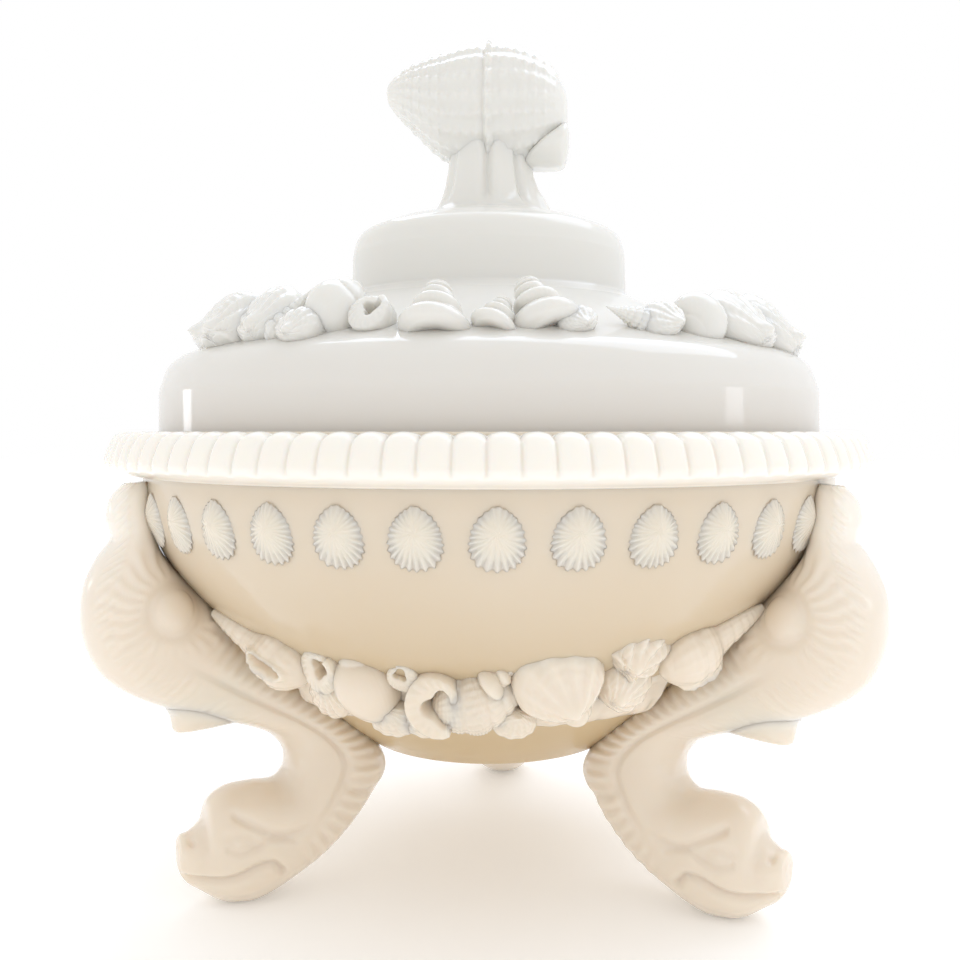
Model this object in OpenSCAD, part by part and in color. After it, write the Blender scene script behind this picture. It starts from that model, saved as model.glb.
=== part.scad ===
// Footed covered dish in pressed milk glass: a bowl on three dolphin feet, and a lid with a shell knob.
// Millimetres, +Z up. The origin is on the table, under the middle of the bowl.

/* [Bowl] */
// Outside radius of the bowl's upright wall
bowl_r = 73; // [66:0.5:88]
// Height of the rim's top above the table
rim_z = 92.5; // [84:0.5:111]
// Thickness of the bowl's glass
bowl_wall = 6; // [4.5:0.25:7.25]
// Radius of the bowl's flat underside
base_r = 27; // [22:0.5:33]
// Height of the bowl's underside above the table
base_z = 27; // [22:0.5:32.5]
// Radius of the curve from the cone to the upright wall
shoulder_r = 22; // [18:0.5:27]
// Height of the upright wall, the rim included
upright_h = 13.5; // [12:0.5:17]
// Depth of the hollow under the foot ring
ring_hollow = 1.2; // [0.8:0.1:1.6]
// Width of the foot ring under the bowl
ring_w = 3; // [2.5:0.25:4]

/* [Beaded rim] */
// How far the rim stands out from the wall at its widest
rim_out = 7.6; // [6:0.2:9]
// Height of the rim band
rim_h = 9.2; // [8:0.2:11]
// Number of beads round the rim
bead_count = 96; // [72:1:102]
// How far a bead stands out of the band
bead_relief = 1; // [0.8:0.1:1.2]
// Inward lean of the rim band, from its foot to its top
rim_lean = 2.3; // [1.5:0.1:3]

/* [Lid seat] */
// Depth of the seat below the rim's top
seat_depth = 4.5; // [3.5:0.25:5.5]
// Thickness of the glass that stands round the seat
seat_wall = 2; // [1.5:0.25:2.5]
// Gap between the lid and the wall of its seat
seat_gap = 1; // [0.5:0.1:1.25]

/* [Relief] */
// Number of sea urchins round the upright wall
urchin_count = 36; // [24:3:36]
// Radius of a sea urchin
urchin_r = 4.9; // [4.2:0.1:5.6]
// Gap between the sea urchins and the beaded rim above them
urchin_gap = 1.9; // [0.5:0.1:2.5]
// How far a sea urchin stands out of the wall
urchin_relief = 1.9; // [1.4:0.1:2.4]
// How deep the reliefs are rooted in the glass
root = 1.2; // [0.8:0.1:1.5]
// Size of the shells in the bowl's garland
shell_r = 6; // [5:0.25:7.25]
// Number of shells on the lid's shoulder
lid_shell_count = 21; // [15:3:21]
// Size of the shells on the lid
lid_shell_r = 5; // [4:0.25:6]

/* [Lid] */
// Thickness of the lid's glass
lid_wall = 4.5; // [3.5:0.25:5.5]
// Height of the lid's upright skirt
skirt_h = 11; // [9:0.5:13.5]
// Radius of the lid's outer corner
lid_corner = 8; // [6:0.5:10]
// Slope of the lid's shoulder, in degrees
lid_slope = 24; // [20:1:29]
// Radius of the round step on top of the lid
tier_r = 30; // [25:0.5:36]
// Height of the step's upright side
tier_h = 7.5; // [6:0.5:9]
// Radius of the step's upper corner
tier_corner = 4.5; // [3.5:0.5:5.5]
// Slope of the step's top, in degrees
tier_slope = 24; // [20:1:29]

/* [Knob] */
// Radius of the stem at its waist
stem_r = 7; // [5.75:0.25:8.5]
// Radius of the stem's spreading foot
stem_foot_r = 14; // [12:0.5:16.5]
// Height of the stem, up to the shell
stem_h = 14.5; // [12:0.5:17.5]
// Radius of the knob's shell at its widest
knob_r = 14.1; // [12:0.1:17]
// Length of the knob's shell
knob_l = 40.5; // [34:0.5:48]
// Distance from the stem's middle to the blunt end of the shell
knob_back = 17.8; // [15:0.2:21]
// Upward tilt of the shell's point, in degrees
knob_tilt = 10; // [5:1:15]
// Drop of the shell's lip beside the stem
lip_drop = 14.5; // [12:0.5:17.5]
// Thickness of the web that carries the lip
web_t = 4; // [3:0.5:5]

/* [Dolphin feet] */
// Distance from the dish's middle to the middle of a foot
foot_r = 56.5; // [50:0.5:67]
// Half the width of a dolphin's body at its thickest
dolphin_w = 11; // [9:0.5:13]
// How far a dolphin's back stands out from the upright wall
back_out = 12; // [10:0.5:14.5]
// Length of the fin that hangs from a dolphin's back, above its head
fin_l = 10; // [8:0.5:12]
// Depth of the flat that is ground on each foot
pad_flat = 0.6; // [0.4:0.1:1]
// Radius of the flat that is ground on each foot
pad_r = 5; // [4:0.5:6]
// Distance from the middle of a foot to the middle of its flat, towards the dish
pad_in = 3; // [2:0.5:4]

/* [Hidden] */
IVORY = [0.96, 0.93, 0.86];
WHITE = [0.93, 0.94, 0.93];
FINE = 72;
arc_step = 8;

// Where the cone of the bowl runs, from the edge of the base to the upright wall
wall_z = rim_z - upright_h;
arc_mid = [bowl_r - shoulder_r, wall_z];
base_to_mid = arc_mid - [base_r, base_z];
cone_slope = atan2(base_to_mid[1], base_to_mid[0]) - asin(shoulder_r / norm(base_to_mid));

// Where the lid sits
seat_z = rim_z - seat_depth;
lid_r = bowl_r - seat_wall - seat_gap;
skirt_z = seat_z + skirt_h;
corner_mid = [lid_r - lid_corner, skirt_z];
shoulder_start = corner_mid + lid_corner * [sin(lid_slope), cos(lid_slope)];
tier_z = shoulder_start[1] + (shoulder_start[0] - tier_r) * tan(lid_slope);
tier_mid = [tier_r - tier_corner, tier_z + tier_h];
tier_start = tier_mid + tier_corner * [sin(tier_slope), cos(tier_slope)];
stem_z = tier_start[1] + (tier_start[0] - stem_foot_r) * tan(tier_slope);
knob_z = stem_z + stem_h + knob_r * 0.75;

// Angles of the dolphins round the dish
BACK = 90;
LEFT = 210;
RIGHT = 330;

// Points of an arc about c, from angle a to angle b
function arc(c, r, a, b) =
    let (n = max(2, ceil(abs(b - a) / arc_step)))
    [for (i = [0 : n]) let (t = a + (b - a) * i / n) c + r * [cos(t), sin(t)]];

// The bowl's outside, from the edge of the base up to the upright wall, moved inwards by t
function bowl_curve(t) =
    let (foot = [base_r - t * sin(cone_slope), base_z + t * cos(cone_slope)])
    concat([foot], arc(arc_mid, shoulder_r - t, cone_slope - 90, 0));

// Where the inside of the bowl meets its floor
floor_z = base_z + bowl_wall;
floor_r = base_r - bowl_wall * sin(cone_slope) + (bowl_wall - bowl_wall * cos(cone_slope)) / tan(cone_slope);

// Radius of the bowl's outside at a height, as a table for lookup()
BOWL_TABLE = concat([[base_z - 0.01, base_r]], [for (p = bowl_curve(0)) [p[1], p[0]]], [[rim_z, bowl_r]]);
function bowl_radius(z) = lookup(z, BOWL_TABLE);
// Point [radius, height] of the cone's outside at a distance d up its slope, and the length of that slope
function cone_point(d) = [base_r + d * cos(cone_slope), base_z + d * sin(cone_slope)];
cone_len = norm(base_to_mid) * cos(asin(shoulder_r / norm(base_to_mid)));

module bowl() {
    inner = bowl_curve(bowl_wall);
    inside = [for (i = [len(inner) - 1 : -1 : 1]) inner[i]];
    color(IVORY) rotate_extrude($fn = FINE) polygon(concat(
        [[0, base_z + ring_hollow], [base_r - ring_w - ring_hollow, base_z + ring_hollow],
         [base_r - ring_w, base_z]],
        bowl_curve(0),
        [[bowl_r, rim_z], [bowl_r - seat_wall, rim_z],
         [bowl_r - seat_wall, seat_z], [bowl_r - bowl_wall, seat_z]],
        inside,
        [[floor_r, floor_z], [0, floor_z]]));
}

// The band behind the beads, then the beads, each a round bar that leans in at the top
module rim_beads() {
    low = [bowl_r + rim_out, rim_z - rim_h + rim_out * 0.35];
    high = low + [-rim_lean, rim_z - low[1]];
    bead_r = min(2 * PI * (high[0] - rim_out / 2) / bead_count * 0.49, rim_out / 2);
    foot = low - [bead_r, 0];
    top = high - [bead_r, bead_r / 2];
    lean = atan2(foot[0] - top[0], top[1] - foot[1]);
    color(IVORY) union() {
        rotate_extrude($fn = FINE) polygon([
            [bowl_r, rim_z - rim_h], [bowl_r + rim_out * 0.3, rim_z - rim_h],
            low - [bead_relief, 0], high - [bead_relief, bead_r],
            high - [bead_r, 0], [bowl_r, rim_z]]);
        for (i = [0 : bead_count - 1]) rotate([0, 0, (i + 0.5) * 360 / bead_count])
            translate([foot[0], 0, foot[1]]) rotate([0, -lean, 0])
                cylinder(r = bead_r, h = norm(top - foot), $fn = FINE);
    }
}

// A low dome of radius r that stands h above z = 0, with its root below
module dome(r, h) {
    ball = (r * r + h * h) / (2 * h);
    rotate_extrude($fn = FINE) intersection() {
        translate([0, h - ball]) circle(r = ball, $fn = FINE);
        translate([0, -root]) square([r, h + root]);
    }
}

module sea_urchins() {
    band_z = rim_z - rim_h - urchin_gap - urchin_r;
    color(IVORY) for (i = [0 : urchin_count - 1])
        rotate([0, 0, (i + 0.5) * 360 / urchin_count])
        translate([bowl_r, 0, band_z]) rotate([0, 90, 0]) dome(urchin_r, urchin_relief);
}

// Puts its children on the bowl's cone, at angle az and d up the slope; x points down the slope
module on_cone(az, d) {
    p = cone_point(d);
    rotate([0, 0, az]) translate([p[0], 0, p[1]]) rotate([0, 180 - cone_slope, 0]) children();
}

// Puts its children on the lid's shoulder, at angle az and d in from its outer edge
module on_shoulder(az, d) {
    rotate([0, 0, az])
    translate([shoulder_start[0] - d * cos(lid_slope), 0, shoulder_start[1] + d * sin(lid_slope)])
    rotate([0, lid_slope, 0]) children();
}

// Cuts what lies deeper in the glass than the root
module rooted(size, depth) {
    intersection() {
        children();
        translate([-2 * size, -2 * size, -depth]) cube([4 * size, 4 * size, 4 * size]);
    }
}

// A spiral shell lying down, its point towards -x: one bulge for each whorl
module whorls(r, l, n) {
    taper = [for (i = [0 : n - 1]) r * (1 - i / (n + 0.6))];
    mid = [for (i = [0 : n - 1]) -l * i / n * 0.86];
    rotate([0, -90, 0]) rotate_extrude($fn = FINE) union() {
        for (i = [0 : n - 1]) intersection() {
            translate([0, -mid[i]]) circle(r = taper[i], $fn = FINE);
            translate([0, -mid[i] - taper[i]]) square([taper[i], 2 * taper[i]]);
        }
        polygon([[0, 0], [r * 0.9, 0], [taper[n - 1] * 0.7, l * 0.85], [0, l]]);
    }
}

// A spiral shell rooted in the surface z = 0, turned by turn
module spiral_shell(r, l, n, turn) {
    rotate([0, 0, turn]) rooted(r + l, root * 2) translate([0, 0, r * 0.3]) whorls(r, l, n);
}

// An egg-shaped shell rooted in the surface
module egg_shell(r, l, turn) {
    half = [for (a = [-90 : 15 : 90]) [r * cos(a), l / 2 * sin(a)]];
    rotate([0, 0, turn]) rooted(l, root * 2) translate([0, 0, r * 0.35])
        rotate([0, 90, 0]) rotate_extrude($fn = FINE) polygon(half);
}

// One sector of the bowl's garland, between two dolphins: [kind, angle, height up the cone, size, turn]
SPIRAL = 0;
EGG = 1;
FAN = 2;
mid_d = cone_len * 0.56;
SECTOR = [
    [SPIRAL, -44, mid_d + 4, 0.95, -60],   [EGG, -33, mid_d + 5, 0.70, 0],
    [FAN, -32, mid_d - 3, 0.75, 0],        [EGG, -21, mid_d - 1, 1.00, 80],
    [EGG, -13.5, mid_d + 3, 0.55, 0],      [SPIRAL, -2, mid_d - 2, 1.10, -100],
    [SPIRAL, 5, mid_d + 5, 0.50, -30],     [FAN, 16.5, mid_d - 1, 1.15, 0],
    [EGG, 31, mid_d + 6, 0.85, 100],       [EGG, 31, mid_d, 0.80, 75],
    [SPIRAL, 43, mid_d + 4, 0.95, 60]];

module garland_sector(az) {
    color(IVORY) for (s = SECTOR) on_cone(az + s[1], s[2]) {
        r = shell_r * s[3];
        if (s[0] == SPIRAL) spiral_shell(r, r * 2.4, 3, s[4]);
        if (s[0] == EGG) egg_shell(r, r * 2.3, s[4]);
        if (s[0] == FAN) dome(r * 1.05, r * 0.72);
    }
}

module lid() {
    inner_corner = lid_corner - lid_wall;
    in_start = corner_mid + inner_corner * [sin(lid_slope), cos(lid_slope)];
    dome_r = tier_r - lid_wall;
    dome_z = in_start[1] + (in_start[0] - dome_r) * tan(lid_slope);
    top_z = tier_start[1] - lid_wall;
    color(WHITE) rotate_extrude($fn = FINE) polygon(concat(
        [[lid_r - lid_wall, seat_z], [lid_r, seat_z]],
        arc(corner_mid, lid_corner, 0, 90 - lid_slope),
        [[tier_r, tier_z]],
        arc(tier_mid, tier_corner, 0, 90 - tier_slope),
        [[stem_foot_r, stem_z], [0, stem_z], [0, top_z], [dome_r - lid_wall, top_z],
         [dome_r, tier_z + tier_h - lid_wall / 2], [dome_r, dome_z],
         in_start, [lid_r - lid_wall, skirt_z]]));
}

module lid_shells() {
    run = (shoulder_start[0] - tier_r) / cos(lid_slope);
    color(WHITE) for (i = [0 : lid_shell_count - 1]) {
        r = lid_shell_r * [1, 0.62, 0.86][i % 3];
        on_shoulder((i + 0.5) * 360 / lid_shell_count, run * [0.42, 0.5, 0.36][i % 3])
            spiral_shell(r, r * 2, 3, [0, 25, -20][i % 3]);
    }
}

module knob_stem() {
    flare = stem_foot_r - stem_r;
    top = stem_z + stem_h + knob_r * 0.25;
    color(WHITE) rotate_extrude($fn = FINE) polygon(concat(
        [[0, stem_z], [stem_foot_r, stem_z]],
        arc([stem_foot_r, stem_z + flare + 0.6], flare, 270, 180),
        [[stem_r, top], [0, top]]));
    color(WHITE) rotate([90, 0, 0]) linear_extrude(web_t, center = true) polygon([
        [stem_r - 1, stem_z], [stem_foot_r + 0.5, stem_z], [stem_foot_r, stem_z + stem_h * 0.4],
        [stem_foot_r - 3, stem_z + stem_h * 0.8], [stem_r - 1, stem_z + stem_h * 0.8]]);
}

// The knob's shell: a spiral shell on its side, its point towards -x, with a lip beside the stem
module knob_shell() {
    point_l = knob_l - knob_back;
    blunt = [for (a = [0 : 12 : 84]) [knob_r * cos(a), -knob_back * sin(a)]];
    point = [for (t = [0.95 : -0.1 : 0.05]) [knob_r * pow(1 - t * t, 0.8), point_l * t]];
    turned = [for (i = [len(blunt) - 1 : -1 : 0]) blunt[i]];
    color(WHITE) difference() {
        union() {
            translate([0, 0, knob_z]) rotate([0, knob_tilt - 90, 0]) rotate_extrude($fn = FINE)
                polygon(concat([[0, -knob_back]], turned, [for (i = [len(point) - 1 : -1 : 0]) point[i]],
                               [[0, point_l]]));
            translate([knob_back - 8.6, -knob_r * 0.45, knob_z - lip_drop])
                cube([8.6, knob_r * 0.9, lip_drop]);
        }
        translate([0, 0, stem_z]) cylinder(r = stem_r, h = stem_h + knob_r * 0.2, $fn = FINE);
    }
}

// The dolphin's middle line from snout to tail: [radius, height, half depth, half width].
// Low stations are placed from the foot, middle ones from the base, high ones from the upright wall.
SPINE = [
    [foot_r + 9.0, 11.5, 2.6, 3.0],
    [foot_r + 7.0, 11.0, 5.0, 5.5],
    [foot_r + 3.0, 10.6, 8.8, dolphin_w - 2.5],
    [foot_r - 3.0, 10.8 - pad_flat, 10.8, dolphin_w - 1.2],
    [foot_r - 12.5, 14.0, 10.0, dolphin_w - 1.4],
    [foot_r - 20.0, 19.5, 11.0, dolphin_w - 2],
    [base_r + 7.5, base_z, 11.6, dolphin_w - 2.2],
    [base_r + 15, base_z + 9, 10.0, dolphin_w - 2],
    [base_r + 24, base_z + 14.5, 10.0, dolphin_w - 1.2],
    [bowl_r - 10, wall_z - 29.5, 12.2, dolphin_w],
    [bowl_r + back_out - 13.5, wall_z - 21.5, 13.4, dolphin_w],
    [bowl_r + back_out - 9.6, wall_z - 12, 9.4, dolphin_w - 1.5],
    [bowl_r + back_out - 8.6, wall_z - 5.5, 4.8, dolphin_w - 3.5],
    [bowl_r + back_out - 9.0, wall_z - 1.5, 5.2, dolphin_w - 4.5],
    [bowl_r + back_out - 11.2, wall_z + 2.5, 2.2, dolphin_w - 8]];
// Rings from one station to the next, and points in a ring
RINGS = 4;
SIDES = 16;

// A smooth curve through the stations, RINGS steps to each
function blend4(a, b, c, d, t) =
    0.5 * (2 * b + (c - a) * t + (2 * a - 5 * b + 4 * c - d) * t * t + (3 * b - a - 3 * c + d) * t * t * t);
function station(i) = SPINE[max(0, min(len(SPINE) - 1, i))];
function spine_at(s) = let (i = floor(s)) blend4(station(i - 1), station(i), station(i + 1), station(i + 2), s - i);
steps = (len(SPINE) - 1) * RINGS;

// A ring point, kept out of the bowl's hollow: it may go no deeper into the glass than the root
function held(p) =
    let (r = norm([p[0], p[1]]), least = bowl_radius(p[2]) - root)
    p[2] > base_z && r < least ? [p[0] * least / r, p[1] * least / r, p[2]] : p;
function ring(k) =
    let (s = k / RINGS, c = spine_at(s), a = spine_at(max(0, s - 0.05)), b = spine_at(min(len(SPINE) - 1.001, s + 0.05)),
         dir = [b[0] - a[0], b[1] - a[1]] / norm([b[0] - a[0], b[1] - a[1]]), side = [-dir[1], dir[0]])
    [for (j = [0 : SIDES - 1]) let (t = j * 360 / SIDES)
        held([c[0] + side[0] * c[2] * cos(t), c[3] * sin(t), max(0, c[1] + side[1] * c[2] * cos(t))])];

module dolphin_body() {
    rings = [for (k = [0 : steps - 1]) ring(k)];
    n = len(rings);
    points = [for (r = rings) each r];
    sides = [for (k = [0 : n - 2]) for (j = [0 : SIDES - 1]) let (a = k * SIDES + j, b = k * SIDES + (j + 1) % SIDES)
        each [[a, b, b + SIDES], [a, b + SIDES, a + SIDES]]];
    ends = [[for (j = [SIDES - 1 : -1 : 0]) j], [for (j = [0 : SIDES - 1]) (n - 1) * SIDES + j]];
    polyhedron(points = points, faces = concat(sides, ends));
}

module dolphin(az) {
    color(IVORY) rotate([0, 0, az]) {
        dolphin_body();
        translate([bowl_r - 9, 0, wall_z - 35]) rotate([0, 159, 0])
            cylinder(r1 = fin_l / 2, r2 = fin_l / 8, h = fin_l, $fn = FINE);
        translate([foot_r - pad_in, 0, 0]) cylinder(r1 = pad_r, r2 = pad_r + 1, h = 2, $fn = FINE);
    }
}

bowl();
rim_beads();
sea_urchins();
garland_sector(270);  // shells_front
garland_sector(150);  // shells_left
garland_sector(30);  // shells_right
dolphin(BACK);  // dolphin_back
dolphin(LEFT);  // dolphin_left
dolphin(RIGHT);  // dolphin_right
lid();
lid_shells();
knob_stem();
knob_shell();
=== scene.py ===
"""A footed covered dish of pressed milk glass: three dolphins carry a bowl with a beaded rim, and a domed
lid with a shell for a knob lies in the rim. Sizes are in millimetres and are turned to metres as each piece
is made. Each section is one piece or one group of like pieces."""
import math

import bpy
import numpy as np
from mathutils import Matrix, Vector, noise


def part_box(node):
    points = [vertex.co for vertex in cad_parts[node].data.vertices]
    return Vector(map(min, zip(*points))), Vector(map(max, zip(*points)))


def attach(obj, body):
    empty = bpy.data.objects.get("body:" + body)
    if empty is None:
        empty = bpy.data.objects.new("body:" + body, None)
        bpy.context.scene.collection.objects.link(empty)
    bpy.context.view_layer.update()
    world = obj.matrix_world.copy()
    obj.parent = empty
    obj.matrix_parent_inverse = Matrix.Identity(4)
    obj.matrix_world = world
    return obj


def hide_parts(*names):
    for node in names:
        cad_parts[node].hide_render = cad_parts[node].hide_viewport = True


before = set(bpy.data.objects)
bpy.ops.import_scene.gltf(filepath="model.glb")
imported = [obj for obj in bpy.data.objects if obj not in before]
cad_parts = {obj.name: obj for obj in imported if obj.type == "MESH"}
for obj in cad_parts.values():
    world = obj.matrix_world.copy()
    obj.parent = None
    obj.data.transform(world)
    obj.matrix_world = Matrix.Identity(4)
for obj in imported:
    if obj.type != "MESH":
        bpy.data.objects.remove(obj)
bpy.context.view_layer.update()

MM = 0.001


# ---------------------------------------------------------------- Table, lights and camera
# A pale seamless table top under soft daylight, as in a china dealer's window. The air is brighter behind
# the dish than in front of it. A broad skylight hangs behind it, and two small windows shine in the lid.
def box_mm(node):
    """The lowest and highest corners of a CAD node, in millimetres."""
    low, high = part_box(node)
    return np.array(low) / MM, np.array(high) / MM


def srgb(code):
    """A hex colour as a linear RGBA value."""
    parts = [int(code[i:i + 2], 16) / 255 for i in (1, 3, 5)]
    linear = [c / 12.92 if c <= 0.04045 else ((c + 0.055) / 1.055) ** 2.4 for c in parts]
    return (*linear, 1.0)


def add_node(tree, kind, inputs=None, **settings):
    """Adds a node, sets its properties, and fills its sockets with values or with other nodes' outputs."""
    made = tree.nodes.new(kind)
    for name, value in settings.items():
        setattr(made, name, value)
    for socket, value in (inputs or {}).items():
        if isinstance(value, bpy.types.NodeSocket):
            tree.links.new(value, made.inputs[socket])
        else:
            made.inputs[socket].default_value = value
    return made


bowl_low, bowl_high = box_mm("bowl")
rim_z = bowl_high[2]
rim_low, rim_high = box_mm("rim_beads")
rim_r = (rim_high[0] - rim_low[0]) / 2

table_size = 6000
table_mesh = bpy.data.meshes.new("table_top")
half_table = table_size / 2 * MM
table_corners = [(-half_table, -half_table, 0), (half_table, -half_table, 0), (half_table, half_table, 0),
                 (-half_table, half_table, 0)]
table_mesh.from_pydata(table_corners, [], [(0, 1, 2, 3)])
table = bpy.data.objects.new("table_top", table_mesh)
bpy.context.collection.objects.link(table)

# Matt white paper. It throws light back up under the dish, so its glow keeps the shadows soft and pale.
paper_glow = 0.13
paper = bpy.data.materials.new("matt_white_paper")
paper.use_nodes = True
paper_shader = paper.node_tree.nodes["Principled BSDF"]
paper_shader.inputs["Base Color"].default_value = srgb("#FFFFFF")
paper_shader.inputs["Roughness"].default_value = 1.0
paper_shader.inputs["Specular IOR Level"].default_value = 0.0
paper_shader.inputs["Emission Color"].default_value = srgb("#FFFFFF")
paper_shader.inputs["Emission Strength"].default_value = paper_glow
table_mesh.materials.append(paper)

front_air, back_air = 0.94, 1.0
world = bpy.data.worlds.new("studio_air")
bpy.context.scene.world = world
world.use_nodes = True
air = world.node_tree
direction = add_node(air, "ShaderNodeTexCoord").outputs["Generated"]
backwards = add_node(air, "ShaderNodeSeparateXYZ", {"Vector": direction}).outputs["Y"]
glow = add_node(air, "ShaderNodeMapRange", {"Value": backwards, "From Min": -0.7, "From Max": 0.6,
                                            "To Min": front_air, "To Max": back_air},
                interpolation_type="SMOOTHSTEP")
air.nodes["Background"].inputs["Color"].default_value = srgb("#FFFFFF")
air.links.new(glow.outputs["Result"], air.nodes["Background"].inputs["Strength"])
bpy.context.scene.view_settings.view_transform = "Standard"


def soft_light(name, place, width, height, power, colour):
    """A rectangular area light, in millimetres and watts, that faces the middle of the dish."""
    lamp = bpy.data.lights.new(name, "AREA")
    lamp.shape = "RECTANGLE"
    lamp.size, lamp.size_y = width * MM, height * MM
    lamp.energy = power
    lamp.color = srgb(colour)[:3]
    obj = bpy.data.objects.new(name, lamp)
    obj.location = Vector(place) * MM
    aim = Vector((0, 0, rim_z)) * MM - obj.location
    obj.rotation_euler = aim.to_track_quat("-Z", "Y").to_euler()
    bpy.context.collection.objects.link(obj)


# The windows stand level with the lid's drum. The skylight is high enough to shine on the lid's shoulder.
soft_light("window_left", (-610, 200, 124), 60, 60, 0.03, "#F4F8FF")
soft_light("window_right", (640, -60, 124), 100, 60, 0.04, "#F6F8FF")
soft_light("skylight", (120, 260, 640), 1000, 400, 2.4, "#DCE9FF")

camera_distance = 2.845 * rim_r
camera_turn = math.radians(4)
lens = bpy.data.cameras.new("view")
lens.lens, lens.sensor_width = 38.55, 36
lens.shift_x, lens.shift_y = -0.0094, -0.0505  # the dish stands a little right of the middle, and low
camera = bpy.data.objects.new("view", lens)
camera.location = Vector((camera_distance * math.sin(camera_turn), -camera_distance * math.cos(camera_turn),
                          rim_z)) * MM
camera.rotation_euler = (math.radians(90), 0, camera_turn)
bpy.context.collection.objects.link(camera)
bpy.context.scene.camera = camera


# ---------------------------------------------------------------- Bowl
# The bowl is pressed from opal glass: a gob is squeezed between a mould and a plunger, then fire-polished,
# so every edge is soft and the wall is a little wavy. A low foot ring is turned on its underside.
def milk_glass(name, high, low, painted_shade_z, roughness, wave_mm, wave_depth_mm, milkiness):
    """Opal glass: white fluoride crystals scatter light a few millimetres deep, red light deepest, under a
    clear glassy skin of IOR 1.5. Its colour is painted darker and warmer below the first of the two heights,
    as painted shade and a painted glow of lamplight through the glass, and whiter above the second. The skin
    has broad waves from the mould, smears of uneven polish, and fine chill marks from the cold iron, which
    are drawn 1.6 mm wide so that they show."""
    cloud_mm, smear_mm, chill_mm, chill_depth_mm = 45, 9, 1.6, 0.02
    glass = bpy.data.materials.new(name)
    glass.use_nodes = True
    tree = glass.node_tree
    shader = tree.nodes["Principled BSDF"]
    place = add_node(tree, "ShaderNodeTexCoord").outputs["Object"]
    height = add_node(tree, "ShaderNodeSeparateXYZ", {"Vector": place}).outputs["Z"]
    cloud = add_node(tree, "ShaderNodeTexNoise", {"Vector": place, "Scale": 1 / (cloud_mm * MM),
                                                  "Detail": 2.0})
    # Painted light and shade: the colour runs with height from the darker, warmer low colour to the paler
    # high one.
    lift = add_node(tree, "ShaderNodeMapRange", {"Value": height, "From Min": painted_shade_z[0] * MM,
                                                 "From Max": painted_shade_z[1] * MM},
                    interpolation_type="SMOOTHSTEP")
    drift = add_node(tree, "ShaderNodeMath", {0: cloud.outputs["Fac"], 1: 0.35, 2: -0.17},
                     operation="MULTIPLY_ADD")
    share = add_node(tree, "ShaderNodeMath", {0: lift.outputs["Result"], 1: drift.outputs["Value"]},
                     operation="ADD", use_clamp=True)
    tint = add_node(tree, "ShaderNodeMix", {"Factor": share.outputs["Value"]}, data_type="RGBA")
    tint.inputs["A"].default_value = srgb(low)
    tint.inputs["B"].default_value = srgb(high)
    tree.links.new(tint.outputs["Result"], shader.inputs["Base Color"])
    smear = add_node(tree, "ShaderNodeTexNoise", {"Vector": place, "Scale": 1 / (smear_mm * MM),
                                                  "Detail": 3.0})
    gloss = add_node(tree, "ShaderNodeMapRange", {"Value": smear.outputs["Fac"], "From Min": 0.3,
                                                  "From Max": 0.7, "To Min": roughness * 0.7,
                                                  "To Max": roughness * 1.4})
    tree.links.new(gloss.outputs["Result"], shader.inputs["Roughness"])
    wave = add_node(tree, "ShaderNodeTexNoise", {"Vector": place, "Scale": 1 / (wave_mm * MM),
                                                 "Detail": 1.0})
    chill = add_node(tree, "ShaderNodeTexNoise", {"Vector": place, "Scale": 1 / (chill_mm * MM),
                                                  "Detail": 2.0})
    broad = add_node(tree, "ShaderNodeBump", {"Height": wave.outputs["Fac"], "Strength": 1.0,
                                              "Distance": wave_depth_mm * MM})
    fine = add_node(tree, "ShaderNodeBump", {"Height": chill.outputs["Fac"], "Strength": 0.35,
                                             "Distance": chill_depth_mm * MM,
                                             "Normal": broad.outputs["Normal"]})
    tree.links.new(fine.outputs["Normal"], shader.inputs["Normal"])
    shader.inputs["IOR"].default_value = 1.5
    shader.inputs["Subsurface Weight"].default_value = milkiness
    shader.inputs["Subsurface Radius"].default_value = (1.0, 0.84, 0.68)
    shader.inputs["Subsurface Scale"].default_value = 3 * MM
    return glass


# The bowl's wall is thin. Its copy of the glass is painted darker than the rim's, as painted shade, with a
# painted honey glow of lamplight and table through it, deepest at the bottom.
shaded_ivory_glass = milk_glass("ivory_milk_glass_shaded", "#DFD2BF", "#CDB48B", (26, 92), 0.13, 14, 0.08, 0.5)
# The rim, the shells and the dolphins are thick lumps of the same glass. Their copy is painted whiter
# than the bowl wall's, as painted light.
ivory_glass = milk_glass("ivory_milk_glass_lit", "#F8F2E9", "#EADDCB", (52, 92), 0.15, 14, 0.05, 0.5)


def ring_faces(rows, cols, first, wrap_rows):
    """Four-sided faces for rows of closed rings, with their points numbered from first."""
    i, j = np.meshgrid(np.arange(rows if wrap_rows else rows - 1), np.arange(cols), indexing="ij")
    up, on = (i + 1) % rows, (j + 1) % cols
    faces = np.stack([i * cols + j, i * cols + on, up * cols + on, up * cols + j], -1)
    return (faces + first).reshape(-1, 4)


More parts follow.
